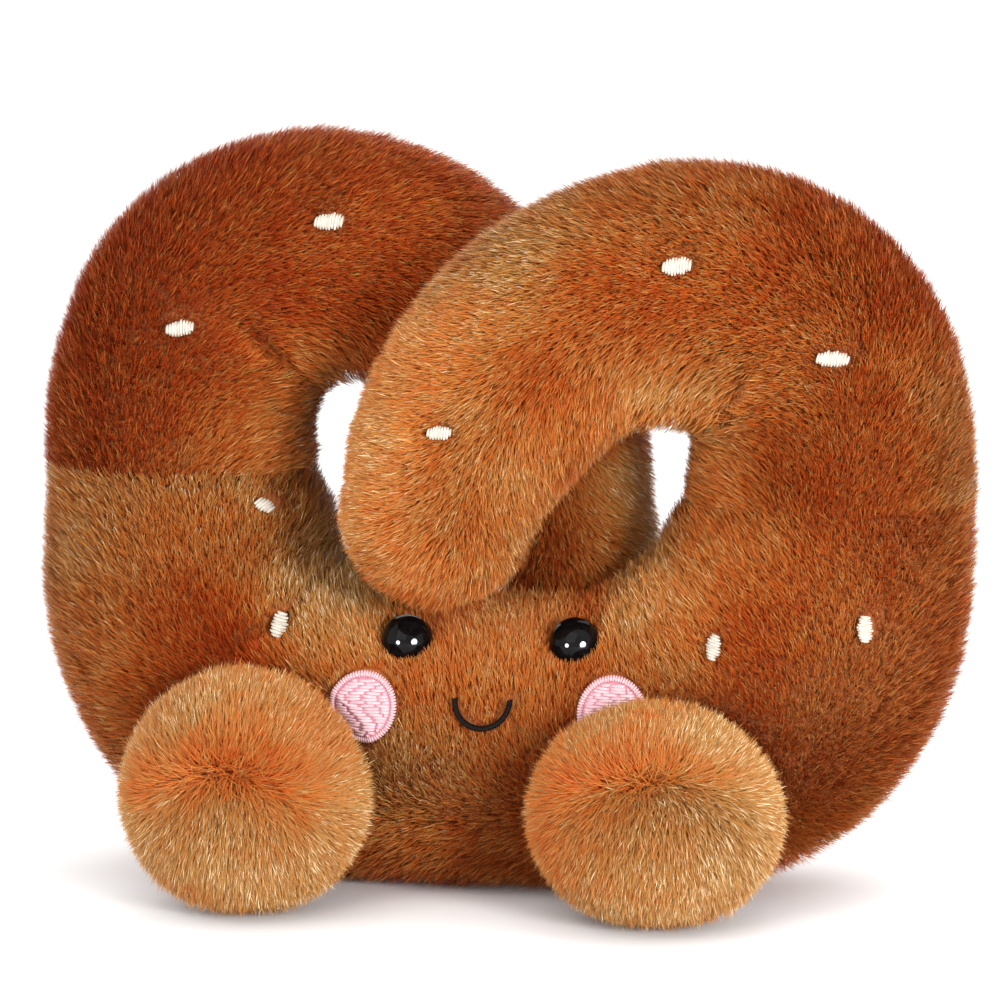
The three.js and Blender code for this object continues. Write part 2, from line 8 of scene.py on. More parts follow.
import bpy
import numpy as np
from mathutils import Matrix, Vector


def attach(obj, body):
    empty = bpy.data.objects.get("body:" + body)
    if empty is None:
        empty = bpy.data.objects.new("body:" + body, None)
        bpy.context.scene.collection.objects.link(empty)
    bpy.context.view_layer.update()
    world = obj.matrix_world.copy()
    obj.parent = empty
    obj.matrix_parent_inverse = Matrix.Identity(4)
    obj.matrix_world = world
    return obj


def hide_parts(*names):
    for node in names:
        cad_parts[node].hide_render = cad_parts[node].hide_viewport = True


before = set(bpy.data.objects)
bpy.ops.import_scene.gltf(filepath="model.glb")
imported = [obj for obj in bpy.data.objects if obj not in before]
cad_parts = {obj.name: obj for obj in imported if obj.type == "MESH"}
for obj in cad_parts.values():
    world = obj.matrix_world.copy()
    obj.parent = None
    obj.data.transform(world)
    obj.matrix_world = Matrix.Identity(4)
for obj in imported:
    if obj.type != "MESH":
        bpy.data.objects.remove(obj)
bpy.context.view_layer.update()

# ------------------------------------------------------------------------------------------------ stuffed parts
# The toy is a fat curved bowl with two loop arms that cross and lie on it, and two round feet. Each is a sewn fur
# bag filled tight with fibre, so its shape is a round tube or ball, flat only where it presses on a neighbour or on
# the ground.

MM = 0.001
ORIGIN = np.array([0.8, 9.4, 0.0])  # the middle of the bowl, seen from the CAD frame
GAP = 0.3  # between pieces that touch
PRESS = 0.035  # half the clearance of two pressed parts, as a share of their half thickness
BEND_FILL = 1.0  # the most of a bend's radius that is filled on its inner side
FREE_SHARE = 0.4  # the share of an arm, from its seam, that never meets the bowl
LEAST_REACH = 0.2  # the least share of a ray that a neighbour leaves
TUBE_ROWS, CAP_ROWS, BALL_ROWS, COLUMNS = 150, 12, 64, 96

# Middle lines: x, y, z, half thickness across the ring, half depth.
SPINES = {
    "bowl": [
        (-47, 0, 57, 19.4, 19), (-45.7, 0, 46.5, 21.5, 19.8), (-43.7, -0.5, 36.2, 22.4, 20.4),
        (-37.6, -1, 27, 23.3, 21), (-27.5, -1.5, 21.6, 23, 21.4), (-14, -2, 19.3, 21.8, 21.6),
        (2, -2, 19, 21.6, 21.6), (16, -2, 19.8, 22, 21.6), (30, -1.5, 24.6, 24.2, 21.4),
        (38.8, -1, 33, 23.8, 20.8), (43.1, 0, 44, 22.4, 20), (45, 0, 54, 20.4, 19.2),
    ],
    "left_arm": [
        (-47, 0, 57, 19.4, 19), (-46.8, 0.5, 66.6, 19.3, 18.8), (-43.2, 1.5, 77.2, 19.2, 18.5),
        (-36.3, 3.5, 83.3, 19.2, 18), (-27.9, 6, 85.8, 18.7, 17.5), (-18.5, 8.5, 84.6, 17.6, 17),
        (-10.5, 11, 79.2, 16.9, 16.5), (-3.7, 12.5, 70.8, 15.6, 16), (2.6, 13.5, 61, 14.8, 15.2),
        (5.6, 13.8, 50.6, 12.8, 14.4), (7.4, 13, 41.6, 12.2, 13.4),
    ],
    "right_arm": [
        (45, 0, 54, 20.4, 19.2), (45.2, -0.6, 63.8, 19.7, 19), (43.1, -2, 72.4, 19.6, 18.8),
        (37.6, -4.5, 79.3, 19.4, 18.6), (30.3, -7, 82.4, 19.2, 18.4), (22.2, -9.5, 82.6, 18.6, 18),
        (13.8, -12, 80.8, 17.3, 17.4), (6.4, -14, 75.9, 16.9, 16.8), (0.2, -15.6, 68.8, 16.3, 16),
        (-4.2, -17, 61.2, 15.1, 15), (-6.4, -18.3, 54, 13.6, 14),
    ],
}
# Feet: centre and half sizes of each ball before it is squashed, then where and how much it is dented.
FEET = {
    "left_foot": ((-30.7, -30, 16.4), (17.4, 17.2, 17.1)),
    "right_foot": ((25.5, -28.4, 14.9), (17.6, 17.2, 15.5)),
}
DENTS = {"left_foot": ((0.75, -0.25, 0.62), 0.12), "right_foot": ((0.8, -0.2, 0.56), 0.05)}
ACROSS, DEEP = 3, 4


def unit(vectors):
    """The vectors, each divided by its own length."""
    return vectors / np.maximum(np.linalg.norm(vectors, axis=-1, keepdims=True), 1e-9)


def middle_line(name, u):
    """Spine values at u rows from the start: the uniform Catmull-Rom curve through the rows, which is carried past a
    seam as its mirror image in the level seam plane and past a free end straight on."""
    rows = np.array(SPINES[name], float)
    flip = np.array([1, 1, -1, 1, 1])
    seam = np.array([0, 0, 2, 0, 0])
    head = rows[1] * flip + rows[0] * seam
    tail = rows[-2] * flip + rows[-1] * seam if name == "bowl" else 2 * rows[-1] - rows[-2]
    p = np.vstack([head, rows, tail])
    k = np.minimum(u.astype(int), len(rows) - 2)
    f = (u - k)[:, None]
    a, b, c, d = p[k], p[k + 1], p[k + 2], p[k + 3]
    return 0.5 * (2 * b + (c - a) * f + (2 * a - 5 * b + 4 * c - d) * f**2 + (3 * b - a - 3 * c + d) * f**3)


def gauge(points, rows):
    """How far points are from a middle line: the least, over the line's rows, of the elliptical distance in which the
    unpressed surface is at 1."""
    flat = points.reshape(-1, 3)
    out = np.empty(len(flat))
    batch = 20000  # points at a time, to save memory
    for first in range(0, len(flat), batch):
        p = flat[first : first + batch, None]
        side = (p[..., 0] - rows[:, 0]) ** 2 + (p[..., 2] - rows[:, 2]) ** 2
        square = side / rows[:, ACROSS] ** 2 + (p[..., 1] - rows[:, 1]) ** 2 / rows[:, DEEP] ** 2
        out[first : first + batch] = np.sqrt(square.min(1))
    return out.reshape(points.shape[:-1])


def line_rows(name, from_share=0.0, count=72):
    """Rows of a middle line from a share of its length to its end."""
    return middle_line(name, np.linspace(from_share, 1, count) * (len(SPINES[name]) - 1))


def ball_gauge(points, foot):
    """Distance from a foot's centre, where its unpressed surface is at 1."""
    centre, radii = FEET[foot]
    return np.sqrt((((points - centre) / radii) ** 2).sum(-1))


LINES = {name: line_rows(name) for name in SPINES}
FREE_ENDS = {name: line_rows(name, FREE_SHARE) for name in ("left_arm", "right_arm")}
GAUGES = {
    **{name: lambda p, rows=rows: gauge(p, rows) for name, rows in LINES.items()},
    **{name + "_end": lambda p, rows=rows: gauge(p, rows) for name, rows in FREE_ENDS.items()},
    **{name: lambda p, foot=name: ball_gauge(p, foot) for name in FEET},
}


def reach(name, others, centre, rays):
    """The share of each ray that stays in its own part. It ends where a neighbour's surface would be as near, found
    by halving the interval."""
    low = np.full(rays.shape[:-1], LEAST_REACH)
    high = np.ones(rays.shape[:-1])

    def clear(t):
        p = centre + rays * t[..., None]
        return np.min([GAUGES[other](p) for other in others], axis=0) >= GAUGES[name](p) + PRESS

    whole = clear(high)
    for _ in range(12):
        middle = (low + high) / 2
        inside = clear(middle)
        low = np.where(inside, middle, low)
        high = np.where(inside, high, middle)
    return np.where(whole, 1.0, low)


def to_ground(share, centre, rays):
    """The share of each ray, cut where the ray meets the ground."""
    falling = np.minimum(rays[..., 2], -1e-6)
    return np.where(rays[..., 2] < 0, np.minimum(share, -centre[..., 2] / falling), share)


def tube_part(name, rows_along, columns):
    """A tube's centres and rays on a grid, then its direction at each row, the angle of each column and each row's
    share of the length. The rows follow the middle line, and a round cap at a free end. Angle 0 lies in the ring's
    plane, on the right of the direction, and 270 degrees is the front."""
    end = len(SPINES[name]) - 1
    u = np.linspace(0, end, rows_along)
    line = middle_line(name, u)
    ahead = middle_line(name, np.minimum(u + 0.01, end))[:, :3]
    behind = middle_line(name, np.maximum(u - 0.01, 0))[:, :3]
    run = unit(ahead - behind)
    low, high = np.maximum(u - 0.5, 0), np.minimum(u + 0.5, end)
    a, b, c = (middle_line(name, at)[:, [0, 2]] for at in (low, (low + high) / 2, high))
    first, second = b - a, c - b
    turn = np.arctan2(first[:, 0] * second[:, 1] - first[:, 1] * second[:, 0], (first * second).sum(1))
    bend = 2 * turn / (np.linalg.norm(first, axis=1) + np.linalg.norm(second, axis=1))
    inner = np.minimum(line[:, ACROSS], BEND_FILL / np.maximum(np.abs(bend), 1e-6))
    right_half = np.where(bend > 0, line[:, ACROSS], inner)
    left_half = np.where(bend > 0, inner, line[:, ACROSS])
    tip = np.zeros(rows_along)
    if name != "bowl":
        cap = np.linspace(0, np.pi / 2, CAP_ROWS + 1)[1:]
        tip = np.concatenate([tip, cap])
        again = np.concatenate([np.arange(rows_along), np.full(CAP_ROWS, rows_along - 1)])
        line, run, right_half, left_half = line[again], run[again], right_half[again], left_half[again]
        u = u[again]
    right = unit(np.cross([0, 1, 0], run))
    back = np.cross(run, right)
    angle = np.linspace(0, 2 * np.pi, columns, endpoint=False)
    half = np.where(np.cos(angle) > 0, right_half[:, None], left_half[:, None])
    rays = (
        right[:, None] * (half * np.cos(tip)[:, None] * np.cos(angle))[..., None]
        + back[:, None] * (line[:, DEEP, None] * np.cos(tip)[:, None] * np.sin(angle))[..., None]
        + run[:, None] * (line[:, ACROSS] * np.sin(tip))[:, None, None]
    )
    centre = np.repeat(line[:, None, :3], columns, 1)
    return centre, rays, run, angle, u / end


def ball_part(foot, rows, columns):
    """A foot's centres and rays on a grid, then the angle of each column. The rows go from its front point to its back
    point. The dent is the fifth power of the cosine from its direction."""
    centre, radii = FEET[foot]
    polar = np.linspace(0, np.pi, rows)[:, None]
    angle = np.linspace(0, 2 * np.pi, columns, endpoint=False)
    rays = np.stack(
        [
            radii[0] * np.sin(polar) * np.cos(angle),
            -radii[1] * np.cos(polar) + 0 * angle,
            radii[2] * np.sin(polar) * np.sin(angle),
        ],
        -1,
    )
    toward, depth = DENTS[foot]
    rays *= 1 - depth * np.maximum(unit(rays) @ unit(np.array(toward)), 0)[..., None] ** 5
    return np.zeros_like(rays) + centre, rays, angle


PARTS = {}
for name in SPINES:
    centre, rays, run, angle, share = tube_part(name, TUBE_ROWS, COLUMNS)
    if name == "bowl":
        stay = reach(name, ["left_arm_end", "right_arm_end", *FEET], centre, rays)
    else:
        other = "right_arm" if name == "left_arm" else "left_arm"
        stay = reach(name, [other], centre, rays)
        free = share >= FREE_SHARE
        stay[free] = np.minimum(stay[free], reach(name, ["bowl"], centre[free], rays[free]))
    PARTS[name] = dict(centre=centre, rays=rays, run=run, angle=angle, share=share, stay=stay)
for name in FEET:
    centre, rays, angle = ball_part(name, BALL_ROWS, COLUMNS)
    PARTS[name] = dict(centre=centre, rays=rays, angle=angle, stay=reach(name, ["bowl"], centre, rays))
for part in PARTS.values():
    part["stay"] = to_ground(part["stay"], part["centre"], part["rays"])
    part["length"] = np.linalg.norm(part["rays"], axis=-1) * part["stay"]


def surface(part, depth):
    """The grid of points at a depth under a part's fur tips, along the rays."""
    return part["centre"] + unit(part["rays"]) * (part["length"] - depth)[..., None]


def grid_normals(grid, outward):
    """Normals of a grid that closes round its columns: the cross product of its two directions, turned outward."""
    along = np.gradient(grid, axis=0)
    across = np.roll(grid, -1, 1) - np.roll(grid, 1, 1)
    normal = unit(np.cross(along, across))
    normal *= np.where((normal * outward).sum(-1, keepdims=True) < 0, -1, 1)
    flat = np.linalg.norm(np.cross(along, across), axis=-1, keepdims=True) < 1e-6
    return np.where(flat, unit(outward), normal)


def front_y(name, x, z):
    """The y of a part's pressed front surface above x, z, found by halving the way from its middle line out."""
    others = list(FEET) if name == "bowl" else []
    near = np.full(x.shape, -8.0 if name == "right_arm" else 0.0)
    far = np.full(x.shape, -40.0)
    for _ in range(16):
        middle = (near + far) / 2
        p = np.stack([x, middle, z], -1)
        own = GAUGES[name](p)
        inside = own <= 1
        for other in others:
            inside &= GAUGES[other](p) >= own + PRESS
        near = np.where(inside, middle, near)
        far = np.where(inside, far, middle)
    return near


def front_frame(name, x, z):
    """The surface point above x, z and the surface's outward normal there."""
    step = 0.5
    xs = np.array([x, x + step, x - step, x, x])
    zs = np.array([z, z, z, z + step, z - step])
    y = front_y(name, xs, zs)
    normal = unit(np.array([(y[1] - y[2]) / (2 * step), -1.0, (y[3] - y[4]) / (2 * step)]))
    return np.array([x, y[0], z]), normal


def piece_from(name, points, faces, material):
    """A mesh object from points in millimetres round the bowl's middle, with smooth faces and one material."""
    mesh = bpy.data.meshes.new(name)
    mesh.from_pydata(((points.reshape(-1, 3) + ORIGIN) * MM).tolist(), [], faces)
    mesh.polygons.foreach_set("use_smooth", np.ones(len(mesh.polygons), bool))
    mesh.materials.append(material)
    piece = bpy.data.objects.new(name, mesh)
    bpy.context.scene.collection.objects.link(piece)
    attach(piece, "root")
    return piece


# ------------------------------------------------------------------------------------------------ cloth
# Under the fur is a knitted backing cloth dyed like the pile's roots. Each bag is sewn from panels and stuffed tight
# with fibre, and the bags are joined edge to edge at the two level seams.

# Depth of each bag's cloth under the fur tips, and the CAD covers that it stands for.
PILE = {"bowl": 2.4, "left_arm": 2.4, "right_arm": 2.4, "left_foot": 2.7, "right_foot": 2.7}
COVERS = {
    "bowl": ("bowl_front_panel", "bowl_back_panel"),
    "left_arm": ("left_arm_front_panel", "left_arm_back_panel"),
    "right_arm": ("right_arm_front_panel", "right_arm_back_panel"),
    "left_foot": ("left_foot_cover",),
    "right_foot": ("right_foot_cover",),
}


def linear(code):
    """A colour written as six hex digits, as linear red, green, blue and alpha."""
    value = np.array([int(code[i : i + 2], 16) for i in (0, 2, 4)]) / 255
    value = np.where(value <= 0.04045, value / 12.92, ((value + 0.055) / 1.055) ** 2.4)
    return (*value, 1.0)


def new_material(name):
    """An empty node material and its Principled shader."""
    material = bpy.data.materials.new(name)
    material.use_nodes = True
    return material, material.node_tree.nodes["Principled BSDF"]


def node(material, kind, **sockets):
    """A node with some of its inputs set. A link is given as an output socket."""
    made = material.node_tree.nodes.new(kind)
    for key, value in sockets.items():
        socket = made.inputs[key.replace("_", " ")]
        if isinstance(value, bpy.types.NodeSocket):
            material.node_tree.links.new(value, socket)
        else:
            socket.default_value = value
    return made


def colour_ramp(material, factor, stops):
    """A colour ramp node from a list of position, colour code pairs."""
    ramp = node(material, "ShaderNodeValToRGB", Fac=factor)
    elements = ramp.color_ramp.elements
    while len(elements) < len(stops):
        elements.new(0.5)
    for element, (position, code) in zip(elements, stops):
        element.position = position
        element.color = linear(code)
    return ramp.outputs["Color"]


def knitted_cloth():
    """Rust cloth with a fine knit: two crossed waves, half a millimetre apart, under a slow stain of darker dye."""
    material, shader = new_material("knitted_backing_cloth")
    place = node(material, "ShaderNodeTexCoord").outputs["Object"]
    stain = node(material, "ShaderNodeTexNoise", Vector=place, Scale=60.0, Detail=3.0)
    colour = colour_ramp(material, stain.outputs["Fac"], [(0.3, "7A3A14"), (0.7, "A05A24")])
    knit = node(material, "ShaderNodeTexWave", Vector=place, Scale=600.0, Distortion=2.0)
    bump = node(material, "ShaderNodeBump", Height=knit.outputs["Fac"], Strength=0.4, Distance=0.0002)
    material.node_tree.links.new(colour, shader.inputs["Base Color"])
    material.node_tree.links.new(bump.outputs["Normal"], shader.inputs["Normal"])
    shader.inputs["Roughness"].default_value = 0.9
    return material


def bag_faces(rows, columns):
    """Faces of a grid that closes round its columns, with one many-sided face on each end row."""
    i, j = np.meshgrid(np.arange(rows - 1), np.arange(columns), indexing="ij")
    k = (j + 1) % columns
    quads = np.stack([i * columns + j, i * columns + k, (i + 1) * columns + k, (i + 1) * columns + j], -1)
    ends = [list(range(columns))[::-1], list(range((rows - 1) * columns, rows * columns))]
    return quads.reshape(-1, 4).tolist() + ends


def pointing_out(points, faces):
    """The faces, all turned over if the body that they close has its inside out."""
    flat = points.reshape(-1, 3)
    quads = np.array([face for face in faces if len(face) == 4])
    a, b, c, d = (flat[quads[:, k]] for k in range(4))
    volume = (a * (np.cross(b, c) + np.cross(c, d))).sum()
    return [face[::-1] for face in faces] if volume < 0 else faces


cloth = knitted_cloth()
for name, part in PARTS.items():
    skin = surface(part, PILE[name])[:, ::2]
    if "run" in part:  # the seam edges stand half a gap off the seam plane
        skin[0] += part["run"][0] * GAP / 2
        if name == "bowl":
            skin[-1] -= part["run"][-1] * GAP / 2
    if name != "bowl":  # a round end row is a single point, so it is drawn in to a small ring
        skin[-1] = 0.96 * skin[-1].mean(0) + 0.04 * skin[-2]
    if name in FEET:
        skin[0] = 0.96 * skin[0].mean(0) + 0.04 * skin[1]
    faces = pointing_out(skin, bag_faces(*skin.shape[:2]))
    bag = piece_from(f"{name}_cloth", skin, faces, cloth)
    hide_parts(*COVERS[name])

# ------------------------------------------------------------------------------------------------ fur
# The pile is dense straight fibre, about 3 mm long on the body and nearly 4 mm on the feet, dyed rust at the roots and
# honey or tan at the tips. It is brushed: up the bowl, along the left arm, across the right arm, and away from a
# crease on each foot. Each fibre bundle is a narrow bent ribbon of three triangles that tapers to a point.

# Eyes, cheeks, mouth and salt, as x, z on the front. The pile is kept off them.
EYES = {"left": (-11.7, 36.2), "right": (11.5, 36.5)}
EYE_RADIUS = 3.5
CHEEKS = {"left": (-16.6, 26.8), "right": (18.1, 27.3)}
CHEEK_RADIUS = 4.85
MOUTH_MIDDLE, MOUTH_HALF, MOUTH_DROP = (0.2, 28.4), 3.8, 3.7
# Grains of each part: x, z, turn in degrees, length and width.
SALT = {
    "left_arm": [(-23.6, 92.3, 0, 3.8, 2.3), (-43, 77.9, 8, 3.9, 2.2)],
    "right_arm": [(27.4, 88.6, 4, 3.8, 2.3), (47.7, 76, -6, 4.2, 2.2), (-3.7, 66.2, 2, 3.4, 1.9)],
    "bowl": [
        (-32, 53.2, -40, 2.4, 1.7), (-29, 37.4, 80, 3.2, 2.2), (31.8, 36.6, 80, 3.4, 2.1), (52.1, 39.3, 90, 3.6, 2),
    ],
}

# Dye and painted shade of each part, from 0, deep rust, to 1, pale gold: its base, then soft patches of x, z, radius,
# dye.
# The patches follow the pile's darker and lighter places: partly real dye, partly painted light and shade from the lie
# of the fibres.
DYE_AND_PAINTED_SHADE = {
    "bowl": (0.4, [
        (-60, 48, 10, 0.75), (-48, 50, 10, 0.6), (-33, 50, 7, 0.7), (-27, 42, 6, 1.0), (-42, 38, 6, 0.08),
        (-38, 31, 8, 0.04), (-54, 34, 8, 0.56), (-22, 39, 5, 1.0), (-20, 33, 6, 0.66), (-10, 31, 6, 0.36),
        (-52, 18, 10, 0.5), (4, 38, 7, 0.6), (-1, 24, 7, 0.48), (12, 28, 6, 0.46), (-8, 20, 7, 0.9),
        # The two small dark patches at z 40 are painted shade above the eyes, where rust roots also show.
        (0, 4, 13, 0.4), (20, 43, 7, 0.72), (26, 36, 7, 0.6), (12, 40, 3, 0.1), (-11, 40, 3, 0.1),
        (35, 48, 7, 0.44), (52, 50, 7, 0.22), (62, 48, 6, 0.6), (38, 32, 7, 0.2), (48, 36, 7, 0.52),
        (48, 22, 8, 0.44), (52, 10, 8, 0.62), (58, 28, 6, 0.36), (20, 8, 10, 0.3),
    ]),
    "left_arm": (0.2, [
        (-60, 66, 7, 0.32), (-50, 80, 9, 0.06), (-52, 67, 7, 0.04), (-43, 72, 6, 0.2), (-32, 66, 7, 0.46),
        (-27, 60, 7, 0.66), (-40, 59, 5, 0.45), (-34, 95, 9, 0.14), (-24, 97, 8, 0.26), (-12, 93, 9, 0.26),
        (-20, 82, 8, 0.12), (5, 50, 6, 0.32), (15, 51, 6, 0.85), (-58, 82, 6, 0.28), (-26, 73, 4, 0.5),
    ]),
    "right_arm": (0.4, [
        (5, 92, 7, 0.82), (24, 95, 6, 0.56), (34, 96, 6, 0.48), (46, 92, 8, 0.24), (52, 84, 6, 0.2),
        # The patches from x -6 to 4 at z 66 to 84 are painted shade on the right arm's edge where it meets the left
        # arm.
        (24, 83, 6, 0.26), (16, 82, 5, 0.4), (38, 84, 6, 0.3), (44, 75, 6, 0.46), (-3, 80, 9, 0.6),
        (4, 84, 6, 0.66), (-6, 66, 9, 0.6), (1, 66, 6, 0.6), (10, 75, 5, 0.3), (17, 71, 6, 0.6),
        (32, 70, 7, 0.62), (24, 68, 6, 0.62), (52, 66, 8, 0.18), (42, 62, 7, 0.28), (33, 60, 5, 0.52),
        (61, 67, 6, 0.7), (62, 56, 6, 0.74), (51, 56, 6, 0.18), (5, 57, 6, 0.6), (-6, 50, 7, 0.6),
        (-13, 60, 6, 0.66), (-8, 43, 5, 0.44), (14, 60, 5, 0.34),
    ]),
    "left_foot": (0.86, [(-36, 30, 7, 0.78), (-24, 26, 5, 0.66)]),
    # On the right foot, the dark patch at x 12 is painted shade on its side towards the left foot.
    "right_foot": (0.84, [(12, 18, 6, 0.6), (20, 31, 7, 0.72), (40, 18, 7, 0.96)]),
}
# Crease of each foot: middle x and z from the foot's centre, half width, and how fast the arc falls to the sides.
CREASES = {"left_foot": (0.0, 6.0, 9.5, 0.045), "right_foot": (2.5, 8.4, 9.5, 0.02)}


def eye_frame(x, z):
    """An eye's seat on the fur tips and the way it faces. Its shank pulls it to face more forward than the fur."""
    place, normal = front_frame("bowl", x, z)
    return place, unit(0.6 * normal + (0, -0.4, 0))


EYE_FRAMES = {side: eye_frame(*place) for side, place in EYES.items()}


def smooth_step(low, high, value):
    """0 below low, 1 above high and a smooth ramp between."""
    t = np.clip((value - low) / (high - low), 0, 1)
    return t * t * (3 - 2 * t)


def mottle(points, scale, seed):
    """Slow noise, mostly within -1 and 1: eight sine waves in random directions, with wavelengths near the scale."""
    rng = np.random.default_rng(seed)
    direction = unit(rng.normal(size=(8, 3)))
    pace = 2 * np.pi / (scale * rng.uniform(0.7, 1.6, 8))
    phase = rng.uniform(0, 2 * np.pi, 8)
    return np.sin(points @ (direction * pace[:, None]).T + phase).sum(1) / 4


def crease_point(name, roots):
    """The nearest point of a foot's crease: a shallow parabola across its upper front."""
    centre, radii = FEET[name]
    middle, height, half, fall = CREASES[name]
    x = np.clip(roots[:, 0] - centre[0] - middle, -half, half)
    z = height - fall * x**2
    x = x + middle
    y = -radii[1] * np.sqrt(np.maximum(1 - (x / radii[0]) ** 2 - (z / radii[2]) ** 2, 0))
    return np.stack([x, y, z], -1) + centre


def dye_and_painted_shade_at(name, roots, normals):
    """Dye at the roots, painted shade included: the base and the patches in the shares of their nearness."""
    base, patches = DYE_AND_PAINTED_SHADE[name]
    total, weight = np.full(len(roots), 0.25 * base), np.full(len(roots), 0.25)
    for x, z, radius, dye in patches:
        near = 2 * np.exp(-((roots[:, 0] - x) ** 2 + (roots[:, 2] - z) ** 2) / radius**2)
        near *= smooth_step(0.6, 0.0, normals[:, 1])  # the patches are on the front
        total += near * dye
        weight += near
    dye = total / weight
    if name in FEET:
        # Painted shade in each foot's crease, over the rust roots that show in the parting.
        away = roots - crease_point(name, roots)
        dye -= 0.4 * np.exp(-(away[:, 0] ** 2 / 30 + away[:, 2] ** 2 / 7 + away[:, 1] ** 2 / 30))
        dye -= 0.12 * smooth_step(4, -3, roots[:, 1] + 12)
    return dye


def flow_at(name, roots, normals, run, inward):
    """The direction in which the tips lie, as a free vector. run is the tube's direction, inward is 1 at the ring's
    inner edge and -1 at its outer edge."""
    x, y, z = roots.T
    front = smooth_step(0.3, -0.3, normals[:, 1])[:, None]

    def blend(flow, share, *direction):
        return flow + (np.array(direction) - flow) * share[:, None]

    if name in FEET:
        return (roots - crease_point(name, roots)) * (0.6, 1, 1)
    if name == "bowl":
        flow = np.zeros_like(roots) + (-0.12, 0, 1)
        flow = blend(flow, smooth_step(-12, -34, x) * smooth_step(42, 22, z), -0.8, 0, 0.75)
        flow = blend(flow, smooth_step(34, 12, np.abs(x + 4)) * smooth_step(20, 8, z), -1, 0, 0.3)
        flow = blend(flow, smooth_step(20, 40, x) * smooth_step(36, 20, z), 0.3, 0, 1)
        flow += 0.35 * mottle(roots, 26, 7)[:, None] * (1, 0, 0)
        return flow * front + (1 - front) * (0, 0, 1)
    toward_hole = np.cross([0, 1, 0], run) * np.where(name == "left_arm", 1, -1)
    flow = run + toward_hole * smooth_step(0.2, 0.9, inward)[:, None]
    if name == "left_arm":
        flow = flow * (1 - 0.35 * front) + 0.35 * front * (1, 0, 0)
    else:
        end_rows = np.array(SPINES[name])[:-6:-1]
        middle = np.interp(z, end_rows[:, 2], end_rows[:, 0])
        on_end = smooth_step(20, 2, x) * smooth_step(92, 76, z) * front[:, 0]
        side = x - middle
        flow = blend(flow, on_end, -1, 0, 0)
        flow = blend(flow, on_end * smooth_step(-8, 1, side), -0.7, 0, -0.7)
        flow = blend(flow, on_end * smooth_step(3, 10, side), -0.1, 0, -1)
    return flow + 0.3 * mottle(roots, 18, 8)[:, None] * (0.6, 0, 0.8)


def inside_outlines(name, points, margin):
    """Whether points of a part's front lie within an eye, a cheek, the mouth or a salt grain grown by a margin."""
    x, z = points[:, 0], points[:, 2]
    hit = np.zeros(len(x), bool)
    if name == "bowl":
        for centre, normal in EYE_FRAMES.values():
            away = points - centre
            off_axis = away - (away @ normal)[:, None] * normal
            hit |= np.linalg.norm(off_axis, axis=1) < EYE_RADIUS + margin
        for cx, cz in CHEEKS.values():
            hit |= np.hypot(x - cx, z - cz) < CHEEK_RADIUS + margin
        u, w = (x - MOUTH_MIDDLE[0]) / MOUTH_HALF, (z - MOUTH_MIDDLE[1]) / MOUTH_DROP
        hit |= (np.abs(np.hypot(u, w) - 1) * MOUTH_DROP < 0.3 + margin) & (w < 0.1)
    for cx, cz, turn, long, wide in SALT.get(name, []):
        c, s = np.cos(np.radians(turn)), np.sin(np.radians(turn))
        u, w = (x - cx) * c + (z - cz) * s, (z - cz) * c - (x - cx) * s
        hit |= (u / (long / 2 + margin)) ** 2 + (w / (wide / 2 + margin)) ** 2 < 1
    return hit


ROOT_DEPTH = 0.2  # under the cloth's face
BURIED = 0.45  # where less than this share of a ray is left, a neighbour hides the pile
ON_GROUND = 3.5  # no place lower than this counts as buried
UNDERSIDE = 0.3  # the density of the pile underneath, where the toy stands
TUFT_SIZE, TUFT_PULL = 0.9, 0.25
PAINTED_GLINT_SHARE = 0.22  # the share of fibres whose tips get painted glints: a pale highlight painted into their dye


def plant_roots(part, depth, span, count, front, rng):
    """Random roots, evenly by area, on the front or the back half of a part's cloth where it is open to the air."""
    grid = surface(part, depth)
    normal = grid_normals(grid, part["rays"])
    columns = grid.shape[1]
    right, up = np.roll(grid, -1, 1)[:-1], grid[1:]
    area = np.linalg.norm(np.cross(right - grid[:-1], up - grid[:-1]), axis=-1)
    buried = (part["stay"][:-1] < BURIED) & (grid[:-1, :, 2] > ON_GROUND)
    lower = normal[:-1, :, 2] < -0.8
    area = area * np.where(buried, 0, 1) * np.where(lower, UNDERSIDE, 1)
    area = area * ((normal[:-1, :, 1] < 0) == front)
    if "share" in part:
        place = part["share"][:-1, None]
        area = area * ((place >= span[0]) & (place < span[1]))
    cell = rng.choice(area.size, count, p=area.ravel() / area.sum())
    i, j = np.divmod(cell, columns)
    a, b = rng.random((2, count, 1))

    def mixed(values):
        near = values[i, j] * (1 - a) + values[i + 1, j] * a
        far = values[i, (j + 1) % columns] * (1 - a) + values[i + 1, (j + 1) % columns] * a
        return near * (1 - b) + far * b

    return mixed(grid), unit(mixed(normal)), i, j


def clump(points, cell, pull, rng):
    """Tips drawn towards the middle of their tuft. Tufts are the cells of a cubic lattice turned at random."""
    turn = np.linalg.qr(rng.normal(size=(3, 3)))[0]
    keys = np.floor(points @ turn / cell).astype(np.int64)
    flat = keys @ np.array([1, 4001, 4001 * 4001])
    _, group = np.unique(flat, return_inverse=True)
    group = group.ravel()
    size = np.bincount(group)
    middle = np.stack([np.bincount(group, points[:, k]) / size for k in range(3)], -1)
    return points + (middle[group] - points) * pull


